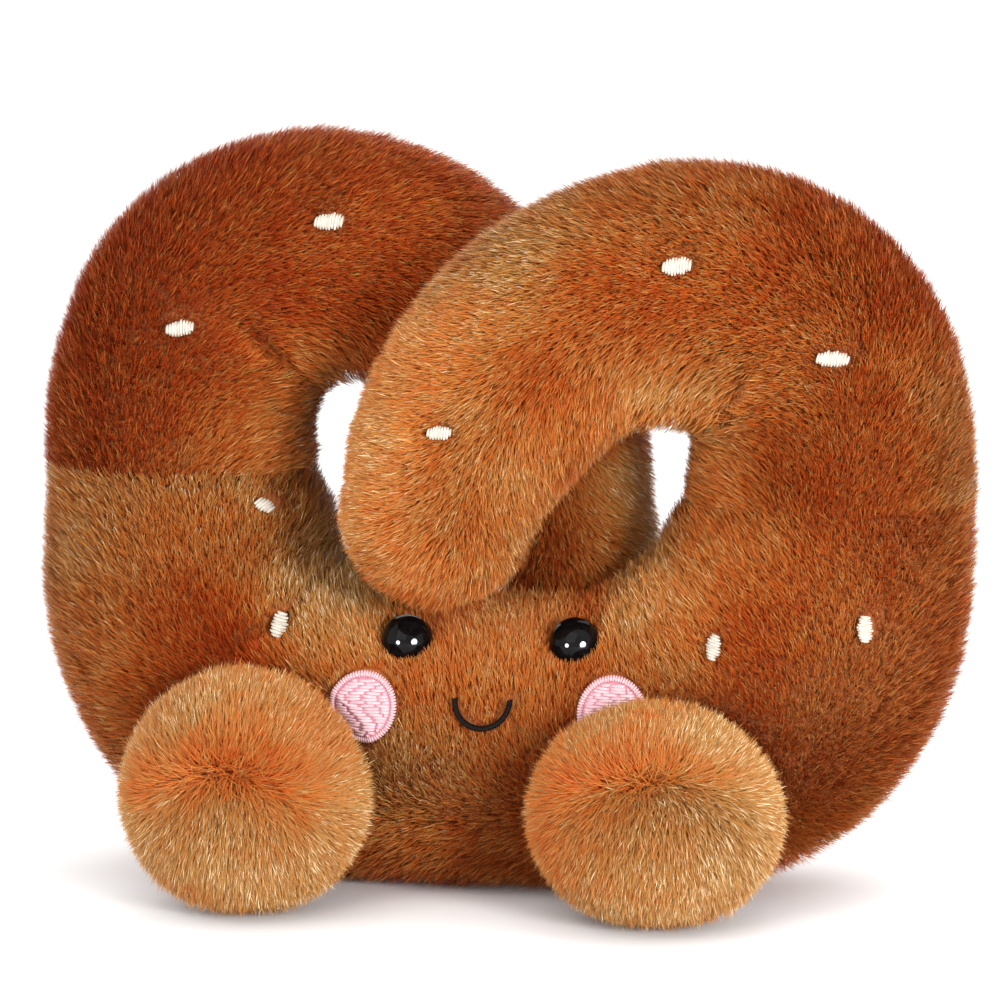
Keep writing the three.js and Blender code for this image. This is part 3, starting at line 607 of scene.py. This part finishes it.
def ribbon_piece(name, points, dyes_with_painted_light, material):
    """A piece of ribbons from their five points each, in millimetres, and the dye at each point, painted shade and
    painted glints included. A ribbon is a quad below a triangle, and has a small cell of its own on the baked map."""
    total = len(points)
    mesh = bpy.data.meshes.new(name)
    corners = np.array([0, 1, 3, 2, 2, 3, 4])
    mesh.vertices.add(5 * total)
    mesh.vertices.foreach_set("co", ((points + ORIGIN) * MM).astype(np.float32).ravel())
    mesh.loops.add(7 * total)
    first = 5 * np.arange(total)[:, None]
    mesh.loops.foreach_set("vertex_index", (first + corners).astype(np.int32).ravel())
    mesh.polygons.add(2 * total)
    starts = (7 * np.arange(total)[:, None] + np.array([0, 4])).astype(np.int32)
    mesh.polygons.foreach_set("loop_start", starts.ravel())
    mesh.polygons.foreach_set("use_smooth", np.ones(2 * total, bool))
    mesh.attributes.new("dye", "FLOAT", "POINT").data.foreach_set("value", dyes_with_painted_light.astype(np.float32).ravel())
    place = np.tile(np.array([0, 0, 0.5, 0.5, 1], np.float32), total)
    mesh.attributes.new("along", "FLOAT", "POINT").data.foreach_set("value", place)
    cells = int(np.ceil(np.sqrt(total)))
    row, column = np.divmod(np.arange(total), cells)
    shape = np.array([[0.1, 0.1], [0.9, 0.1], [0.9, 0.5], [0.1, 0.5], [0.1, 0.5], [0.9, 0.5], [0.5, 0.95]])
    uv = (np.stack([column, row], -1)[:, None] + shape) / cells
    mesh.uv_layers.new(name="OFBake").data.foreach_set("uv", uv.astype(np.float32).ravel())
    mesh.update(calc_edges=True)
    mesh.materials.append(material)
    piece = bpy.data.objects.new(name, mesh)
    bpy.context.scene.collection.objects.link(piece)
    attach(piece, "root")
    return piece


def fur(piece_name, name, span, count, front, pile, bends, width, material, seed):
    """The pile on one stretch of a panel. A ribbon leaves its root steeply and bends over along the flow, at the two
    angles given. It has two points at the root, two in the middle and one at the tip, and carries its dye, with
    painted shade and painted glints, and its place along the fibre. Near the eyes and the embroidery it is shorter,
    and it ends before their outlines."""
    rng = np.random.default_rng(seed)
    part = PARTS[name]
    roots, normals, i, j = plant_roots(part, PILE[name] + ROOT_DEPTH, span, count, front, rng)
    run = part["run"][i] if "run" in part else np.zeros_like(roots)
    side = np.cos(part["angle"][j])
    inward = side if name == "left_arm" else -side
    flow = flow_at(name, roots, normals, run, inward)
    flow = unit(unit(flow) + rng.normal(scale=0.24, size=roots.shape))
    flow = unit(flow - normals * (flow * normals).sum(1, keepdims=True))

    length = pile * rng.normal(1, 0.12, count).clip(0.5, 1.3)
    length *= 1 + 0.08 * mottle(roots, 5, 9)
    ground = smooth_step(2.5, 0.4, roots[:, 2])
    length *= 1 - 0.6 * ground
    shown = normals[:, 1] < 0.1
    short = np.ones(count)
    for margin, share in ((2.2, 0.85), (1.5, 0.7), (0.8, 0.55)):
        short = np.where(shown & inside_outlines(name, roots, margin), share, short)
    length *= short
    share = np.ones(count)
    ahead = flow * (0.5 * length)[:, None]
    for trial in (0.85, 0.7, 0.55, 0.4, 0.25):
        at = roots + ahead * share[:, None]
        share = np.where(shown & inside_outlines(name, at, -0.05), trial, share)
    length *= share
    at = roots + ahead * (0.24 * share)[:, None]
    kept = ~(shown & inside_outlines(name, at, -0.1))

    rise = np.radians(bends[0] + rng.normal(0, 7, count) - 30 * ground)
    fall = np.radians(bends[1] + rng.normal(0, 10, count) - (bends[1] - 4) * ground)
    steep = normals * np.sin(rise)[:, None] + flow * np.cos(rise)[:, None]
    flat = normals * np.sin(fall)[:, None] + flow * np.cos(fall)[:, None]
    middle = roots + steep * (0.5 * length)[:, None]
    tips = middle + flat * (0.5 * length)[:, None]
    tips = clump(tips, TUFT_SIZE, TUFT_PULL, rng)

    across = unit(np.cross(flow, normals))
    roll = rng.normal(0, 0.45, count)[:, None]
    across = unit(across * np.cos(roll) + normals * np.sin(roll))
    half = (0.5 * width * rng.uniform(0.75, 1.3, count))[:, None]
    points = np.stack(
        [roots - across * half, roots + across * half, middle - across * half, middle + across * half, tips], 1
    )[kept]
    points[..., 2] = np.maximum(points[..., 2], 0.05)
    dye = (dye_and_painted_shade_at(name, roots, normals) + rng.normal(0, 0.07, count))[kept]
    # Painted glints: a share of the tips get a pale highlight painted into their dye, and the rest are a little
    # darker.
    painted_glint = np.where(rng.random(len(dye)) < PAINTED_GLINT_SHARE, rng.uniform(0.25, 0.75, len(dye)), -0.06)
    dyes_with_painted_light = dye[:, None] + painted_glint[:, None] * np.array([0, 0, 0.3, 0.3, 1])
    piece = ribbon_piece(piece_name, points, dyes_with_painted_light, material)


def fur_fibre(name, root_shade, stops):
    """Dyed acrylic fibre. Its place on a ramp from deep rust to pale gold is the dye with its painted shade and
    painted glints, plus slow mottling at two sizes and a drop towards the root."""
    material, shader = new_material(name)
    link = material.node_tree.links.new
    # The dye attribute holds painted shade and painted glints as well as dye.
    dye = node(material, "ShaderNodeAttribute")
    dye.attribute_name = "dye"
    along = node(material, "ShaderNodeAttribute")
    along.attribute_name = "along"
    place = node(material, "ShaderNodeTexCoord").outputs["Object"]
    slow = node(material, "ShaderNodeTexNoise", Vector=place, Scale=110.0, Detail=2.0)
    quick = node(material, "ShaderNodeTexNoise", Vector=place, Scale=420.0, Detail=1.0)
    terms = [
        node(material, "ShaderNodeMapRange", Value=along.outputs["Fac"], To_Min=-root_shade, To_Max=0.05),
        node(material, "ShaderNodeMapRange", Value=slow.outputs["Fac"], To_Min=-0.26, To_Max=0.26),
        node(material, "ShaderNodeMapRange", Value=quick.outputs["Fac"], To_Min=-0.16, To_Max=0.16),
    ]
    value = dye.outputs["Fac"]
    for term in terms:
        total = node(material, "ShaderNodeMath")
        total.operation = "ADD"
        link(value, total.inputs[0])
        link(term.outputs["Result"], total.inputs[1])
        value = total.outputs[0]
    scaled = node(material, "ShaderNodeMapRange", Value=value, To_Max=0.76)
    scaled.clamp = False
    link(colour_ramp(material, scaled.outputs["Result"], stops), shader.inputs["Base Color"])
    shader.inputs["Roughness"].default_value = 0.4
    shader.inputs["Specular IOR Level"].default_value = 0.3
    shader.inputs["Specular Tint"].default_value = linear("FFD9A0")
    return material


# The pale stop at 1.0 on each ramp is the colour of the painted glints on the tips.
RUST = [(0.0, "983410"), (0.15, "A84818"), (0.32, "B46026")]
HONEY_AND_PAINTED_GLINT = [(0.47, "B27438"), (0.62, "B68446"), (0.76, "BC9258"), (1.0, "F8E2BC")]
TAN_AND_PAINTED_GLINT = [(0.47, "A46C36"), (0.62, "A87840"), (0.76, "AC8048"), (1.0, "F0D8B0")]
body_fur = fur_fibre("brushed_pile", 0.36, RUST + HONEY_AND_PAINTED_GLINT)
foot_fur = fur_fibre("long_foot_pile", 0.3, RUST + TAN_AND_PAINTED_GLINT)
BODY_PILE, BODY_BENDS = 3.1, (76, 46)
FOOT_PILE, FOOT_BENDS = 3.7, (66, 34)
FRONT_WIDTH, BACK_WIDTH = 0.14, 0.22
for seed, (name, front_count, back_count) in enumerate(
    [("bowl", 62000, 32000), ("left_arm", 46000, 24000), ("right_arm", 52000, 22000)]
):
    for half, span in (("start", (0.0, 0.5)), ("end", (0.5, 1.01))):
        piece = f"{name}_fur_{half}"
        own = 100 + 10 * seed + 2 * (half == "end")
        fur(
            f"{piece}_front", name, span, front_count, True, BODY_PILE, BODY_BENDS, FRONT_WIDTH, body_fur, own
        )
        fur(
            f"{piece}_back", name, span, back_count, False, BODY_PILE, BODY_BENDS, BACK_WIDTH, body_fur, own + 1
        )
for seed, name in enumerate(FEET):
    for half, count, width, own in (("front", 40000, FRONT_WIDTH, 200 + seed), ("back", 9000, BACK_WIDTH, 210 + seed)):
        fur(
            f"{name}_fur_{half}", name, (0, 1), count, half == "front", FOOT_PILE, FOOT_BENDS, width, foot_fur,
            own,
        )

# ------------------------------------------------------------------------------------------------ eyes
# Each eye is a glossy black plastic dome on a shank, pushed through the cloth and locked by a washer behind it. The
# pile is pressed down round it.

EYE_HEIGHT, EYE_SEAT = 3.0, 1.7


def eye_plastic():
    """Black moulded plastic with a deep polish and a trace of handling marks in its roughness."""
    material, shader = new_material("black_eye_plastic")
    place = node(material, "ShaderNodeTexCoord").outputs["Object"]
    marks = node(material, "ShaderNodeTexNoise", Vector=place, Scale=900.0, Detail=2.0)
    colour = colour_ramp(material, marks.outputs["Fac"], [(0.3, "010101"), (0.7, "040303")])
    polish = node(material, "ShaderNodeMapRange", Value=marks.outputs["Fac"], To_Min=0.03, To_Max=0.09)
    material.node_tree.links.new(colour, shader.inputs["Base Color"])
    material.node_tree.links.new(polish.outputs["Result"], shader.inputs["Roughness"])
    shader.inputs["Specular IOR Level"].default_value = 0.13
    return material


def eye_dome(side, material):
    """A dome turned about the surface normal: a quarter ellipse from its crown to its rim, a rounded rim and a flat
    back."""
    place, normal = EYE_FRAMES[side]
    crown = np.linspace(np.pi / 2, 0, 20)
    radius = np.concatenate([EYE_RADIUS * np.cos(crown), [EYE_RADIUS - 0.05, EYE_RADIUS - 0.3, 0.2]])
    rim = [-EYE_SEAT - 0.2, -EYE_SEAT - 0.3, -EYE_SEAT - 0.3]
    height = np.concatenate([EYE_HEIGHT * np.sin(crown) - EYE_SEAT, rim])
    radius[0] = 0.03
    turn = np.linspace(0, 2 * np.pi, 64, endpoint=False)
    level = unit(np.cross(normal, [0, 0, 1]))
    upright = np.cross(level, normal)
    ring = level * np.cos(turn)[:, None] + upright * np.sin(turn)[:, None]
    points = place + ring * radius[:, None, None] + normal * height[:, None, None]
    dome = piece_from(f"{side}_eye_dome", points, pointing_out(points, bag_faces(*points.shape[:2])), material)
    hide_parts(f"{side}_eye")


black_plastic = eye_plastic()
for side in EYES:
    eye_dome(side, black_plastic)

# ------------------------------------------------------------------------------------------------ embroidery
# The salt, cheeks and mouth are machine embroidery: shiny thread about 0.4 mm thick laid in parallel stitches that
# press the pile down. Each thread is a half-round strip that dips into the cloth at both ends.

THREAD = 0.4


def thread_material(name, light, dark, shine=0.35):
    """Trilobal embroidery thread: fine twist lines along each stitch, a satin shine and slight shade changes."""
    material, shader = new_material(name)
    place = node(material, "ShaderNodeUVMap").outputs["UV"]
    twist = node(material, "ShaderNodeTexWave", Vector=place, Scale=3.0, Distortion=0.4, Detail=1.0)
    tone = node(material, "ShaderNodeTexNoise", Vector=place, Scale=1.7, Detail=2.0)
    colour = colour_ramp(material, tone.outputs["Fac"], [(0.3, dark), (0.62, light)])
    bump = node(material, "ShaderNodeBump", Height=twist.outputs["Fac"], Strength=0.35, Distance=0.00006)
    material.node_tree.links.new(colour, shader.inputs["Base Color"])
    material.node_tree.links.new(bump.outputs["Normal"], shader.inputs["Normal"])
    shader.inputs["Roughness"].default_value = 0.45
    shader.inputs["Specular IOR Level"].default_value = shine
    return material


def stitches(piece_name, name, starts, ends, depth, width, material):
    """Straight stitches laid on a part's front from start to end, as x, z pairs. Each is a grid of seven stations by
    five points of a half-round section, and sinks to the cloth at both ends."""
    along = np.linspace(0, 1, 7)
    arc = np.linspace(0, np.pi, 5)
    flat = starts[:, None] + (ends - starts)[:, None] * along[:, None]
    side = unit(ends - starts)[:, None, None] @ np.array([[0.0, 1.0], [-1.0, 0.0]])
    half = 0.5 * width * (0.55 + 0.45 * np.sin(np.pi * along) ** 0.4)
    arch = np.sin(np.pi * along) ** 0.35
    lift = arch * 0.5
    plan = flat[:, :, None] + side * (half[:, None] * np.cos(arc))[None, :, :, None]
    y = front_y(name, plan[..., 0], plan[..., 1]) + depth
    y -= (lift[:, None] * (0.25 + 0.75 * np.sin(arc)) * width)[None] - 0.3 * (1 - arch)[:, None]
    points = np.stack([plan[..., 0], y, plan[..., 1]], -1)
    count = len(starts)
    i, j = np.meshgrid(np.arange(6), np.arange(4), indexing="ij")
    corner = (i * 5 + j).ravel()
    quads = np.stack([corner, corner + 5, corner + 6, corner + 1], -1)
    faces = (35 * np.arange(count)[:, None, None] + quads).reshape(-1, 4)
    flat_points = points.reshape(-1, 3)
    a, b, c = (flat_points[faces[:, k]] for k in (0, 1, 2))
    if np.cross(b - a, c - a)[:, 1].sum() > 0:
        faces = faces[:, ::-1]
    piece = piece_from(piece_name, points, faces.tolist(), material)
    u = np.repeat(np.tile(along, (count, 1))[:, :, None], 5, 2) + np.arange(count)[:, None, None] * 0.37
    v = np.tile(arc / np.pi, (count, 7, 1)) + np.arange(count)[:, None, None] * 1.13
    uv = np.stack([u, v], -1).reshape(-1, 2)[faces.ravel()]
    piece.data.uv_layers.new(name="stitch").data.foreach_set("uv", uv.astype(np.float32).ravel())
    return piece


def ground_patch(piece_name, name, outline, depth, material):
    """The layer of crossed underlay thread below the stitches: a closed pad over an outline given as x, z points."""
    middle = outline.mean(0)
    rings = [middle + (outline - middle) * share for share in (0.02, 0.35, 0.7, 1.0)]
    plan = np.array([*rings, *rings[::-1]])
    y = front_y(name, plan[..., 0], plan[..., 1]) + depth
    y[len(rings) :] += 0.5
    points = np.stack([plan[..., 0], y, plan[..., 1]], -1)
    pad = piece_from(piece_name, points, pointing_out(points, bag_faces(*points.shape[:2])), material)
    uv = np.zeros((len(pad.data.loops), 2))
    index = np.empty(len(pad.data.loops), np.int32)
    pad.data.loops.foreach_get("vertex_index", index)
    uv[:] = plan.reshape(-1, 2)[index]
    pad.data.uv_layers.new(name="stitch").data.foreach_set("uv", uv.astype(np.float32).ravel())
    return pad


def circle(middle, radius, count=48):
    """Points of a circle in x, z."""
    turn = np.linspace(0, 2 * np.pi, count, endpoint=False)
    return np.array(middle) + radius * np.stack([np.cos(turn), np.sin(turn)], -1)


# Cheeks: level rows of short running stitches inside a satin border whose stitches point to the middle.
pale_pink = thread_material("pale_pink_thread", "DDB4B8", "C898A0")
deep_pink = thread_material("deep_pink_thread", "C4808E", "B06C7C")
rng = np.random.default_rng(5)
for side, (cx, cz) in CHEEKS.items():
    pad = ground_patch(f"{side}_cheek_underlay", "bowl", circle((cx, cz), CHEEK_RADIUS - 0.3), 1.25, deep_pink)
    starts, ends = [], []
    fill = CHEEK_RADIUS - 0.95
    for row in np.arange(-fill + 0.2, fill, 0.4):
        half = np.sqrt(fill**2 - row**2)
        cuts = np.arange(-half, half, 2.3) + rng.uniform(0, 2.3)
        cuts = np.concatenate([[-half], cuts[(cuts > 0.5 - half) & (cuts < half - 0.5)], [half]])
        for a, b in zip(cuts[:-1], cuts[1:]):
            tilt = rng.uniform(-0.08, 0.08)
            starts.append((cx + a, cz + row - tilt))
            ends.append((cx + b, cz + row + tilt))
    rows = stitches(f"{side}_cheek_fill", "bowl", np.array(starts), np.array(ends), 1.1, THREAD, pale_pink)
    turn = np.linspace(0, 2 * np.pi, 76, endpoint=False)
    spoke = np.stack([np.cos(turn), np.sin(turn)], -1)
    middle = np.array([cx, cz])
    border = stitches(
        f"{side}_cheek_border", "bowl", middle + spoke * (CHEEK_RADIUS - 0.85), middle + spoke * CHEEK_RADIUS, 1.05,
        0.34, pale_pink,
    )
    for piece in (pad, rows, border):
        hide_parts(f"{side}_cheek_embroidery")

# Mouth: slanted satin stitches along a hanging half ellipse.
black_thread = thread_material("black_thread", "120C0A", "070403", 0.1)
turn = np.linspace(np.pi, 2 * np.pi, 44)
curve = np.array(MOUTH_MIDDLE) + np.stack([MOUTH_HALF * np.cos(turn), MOUTH_DROP * np.sin(turn)], -1)
outward = unit(np.stack([np.cos(turn) / MOUTH_HALF, np.sin(turn) / MOUTH_DROP], -1))
slant = unit(np.stack([-np.sin(turn) * MOUTH_HALF, np.cos(turn) * MOUTH_DROP], -1)) * 0.14
smile = stitches(
    "mouth_stitches", "bowl", curve - outward * 0.4 - slant, curve + outward * 0.4 + slant, 0.3, THREAD, black_thread
)
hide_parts("mouth_embroidery")

# Salt: each grain is a block of satin stitches side by side, over an underlay.
white_thread = thread_material("white_thread", "C2BAAC", "968D7F")
number = 0
for name, grains in SALT.items():
    for x, z, turn, long, wide in grains:
        number += 1
        c, s = np.cos(np.radians(turn)), np.sin(np.radians(turn))
        turned = np.array([[c, s], [-s, c]])
        count = int(long / 0.36)
        across = np.linspace(-0.5, 0.5, count) * (long - THREAD)
        half = 0.5 * wide * (1 - 0.5 * np.abs(across / (0.5 * long)) ** 2.5)
        starts = np.stack([across - 0.12, -half * rng.uniform(0.85, 1.1, count)], -1) @ turned + (x, z)
        ends = np.stack([across + 0.12, half * rng.uniform(0.85, 1.1, count)], -1) @ turned + (x, z)
        block = stitches(f"salt_{number}_stitches", name, starts, ends, 0.7, THREAD, white_thread)
        corners = circle((0, 0), 1.0, 24) * (0.4 * long, 0.36 * wide) @ turned + (x, z)
        pad = ground_patch(f"salt_{number}_underlay", name, corners, 1.0, white_thread)
        for piece in (block, pad):
            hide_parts(f"salt_stitch_{number}")

# ------------------------------------------------------------------------------------------------ inside
# Loose polyester fibre fills the body and the feet, a small cloth bag of beans weighs the bottom, and a plastic
# washer holds each eye. These are the CAD pieces themselves, with their own finishes.


def plain_finish(name, light, dark, scale, roughness):
    """A matt finish whose colour and bump come from one noise of the given scale."""
    material, shader = new_material(name)
    place = node(material, "ShaderNodeTexCoord").outputs["Object"]
    grain = node(material, "ShaderNodeTexNoise", Vector=place, Scale=scale, Detail=4.0)
    bump = node(material, "ShaderNodeBump", Height=grain.outputs["Fac"], Strength=0.5, Distance=0.0004)
    colour = colour_ramp(material, grain.outputs["Fac"], [(0.3, dark), (0.7, light)])
    material.node_tree.links.new(colour, shader.inputs["Base Color"])
    material.node_tree.links.new(bump.outputs["Normal"], shader.inputs["Normal"])
    shader.inputs["Roughness"].default_value = roughness
    return material


INSIDE = {
    ("core_stuffing", "left_foot_stuffing", "right_foot_stuffing"): ("loose_fibre", "F4F2EC", "D8D4CA", 500.0, 1.0),
    ("bean_pouch",): ("bean_bag_cloth", "E8E2D2", "C8C0AC", 900.0, 0.9),
    ("left_eye_washer", "right_eye_washer"): ("washer_plastic", "E8E8E4", "D2D2CC", 300.0, 0.45),
}
for nodes, finish in INSIDE.items():
    material = plain_finish(*finish)
    for name in nodes:
        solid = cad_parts[name]
        solid.data.materials.clear()
        solid.data.materials.append(material)

# ------------------------------------------------------------------------------------------------ studio
# A white sweep under a large soft light at the front left and another above. A small lamp stands low on each side,
# and two more light nothing but the eyes, where they show as points.


def studio_sweep():
    """A floor that curves up into a wall far behind the toy, 4 m wide."""
    bend = np.linspace(0, np.pi / 2, 16)
    back = np.concatenate([[-2.5, 0.9], 1.0 + 0.6 * np.sin(bend), [1.6]])
    up = np.concatenate([[0, 0], 0.6 - 0.6 * np.cos(bend), [2.6]])
    points = np.array([[(x, y, z) for y, z in zip(back, up)] for x in (-2.5, 2.5)])
    count = len(back)
    faces = [(k, k + count, k + count + 1, k + 1) for k in range(count - 1)]
    mesh = bpy.data.meshes.new("studio_sweep")
    mesh.from_pydata(points.reshape(-1, 3).tolist(), [], faces)
    material, shader = new_material("white_sweep_paper")
    shader.inputs["Base Color"].default_value = linear("F8F8F8")
    shader.inputs["Roughness"].default_value = 0.9
    mesh.materials.append(material)
    sweep = bpy.data.objects.new("studio_sweep", mesh)
    bpy.context.scene.collection.objects.link(sweep)


def soft_light(name, place, target, shape, size, watts):
    """An area light at a place, facing a target."""
    light = bpy.data.lights.new(name, "AREA")
    light.shape = shape
    light.size = size
    light.energy = watts
    holder = bpy.data.objects.new(name, light)
    holder.location = place
    holder.rotation_euler = (Vector(target) - Vector(place)).to_track_quat("-Z", "Y").to_euler()
    bpy.context.scene.collection.objects.link(holder)
    return holder


studio_sweep()
toy_middle, toy_front = (0.0, 0.0, 0.05), (0.0, 0.0, 0.04)
soft_light("key_light", (-0.3, -1.1, 0.9), toy_middle, "SQUARE", 1.0, 4.6)
soft_light("top_light", (0.1, 0.2, 1.1), toy_middle, "SQUARE", 1.0, 4)
soft_light("right_lamp", (0.36, -0.44, 0.14), toy_front, "DISK", 0.16, 3.2)
soft_light("left_lamp", (-0.26, -0.5, 0.1), toy_front, "DISK", 0.1, 0.8)
SPARKLE_WATTS = 380  # for a lamp 1 m across
only_eyes = bpy.data.collections.new("eyes")
for side in EYES:
    only_eyes.objects.link(bpy.data.objects[f"{side}_eye_dome"])
for name, place, size in (("right_sparkle", (0.36, -0.44, 0.1), 0.26), ("left_sparkle", (-0.26, -0.5, 0.07), 0.15)):
    sparkle = soft_light(name, place, toy_front, "DISK", size, SPARKLE_WATTS * size**2)
    sparkle.light_linking.receiver_collection = only_eyes

world = bpy.data.worlds.new("studio")
world.use_nodes = True
world.node_tree.nodes["Background"].inputs["Color"].default_value = linear("FFFFFF")
world.node_tree.nodes["Background"].inputs["Strength"].default_value = 1.2
bpy.context.scene.world = world
bpy.context.scene.view_settings.view_transform = "Standard"

# The camera stands 11 degrees round towards +X from the toy's front, 8 degrees up and 0.76 m off.
AZIMUTH, ELEVATION, DISTANCE = np.radians(11.0), np.radians(8.0), 0.76
TARGET = np.array([-1.4, 0.0, 53.0])
aim = (TARGET + ORIGIN) * MM
back = np.array([
    np.sin(AZIMUTH) * np.cos(ELEVATION), -np.cos(AZIMUTH) * np.cos(ELEVATION), np.sin(ELEVATION),
])
camera = bpy.data.cameras.new("camera")
camera.sensor_width = 36
camera.lens = 36 * DISTANCE / 0.1393  # the image is 139.3 mm wide at the target
camera.clip_end = 20
holder = bpy.data.objects.new("camera", camera)
holder.location = aim + back * DISTANCE
holder.rotation_euler = (-Vector(back)).to_track_quat("-Z", "Y").to_euler()
bpy.context.scene.collection.objects.link(holder)
bpy.context.scene.camera = holder
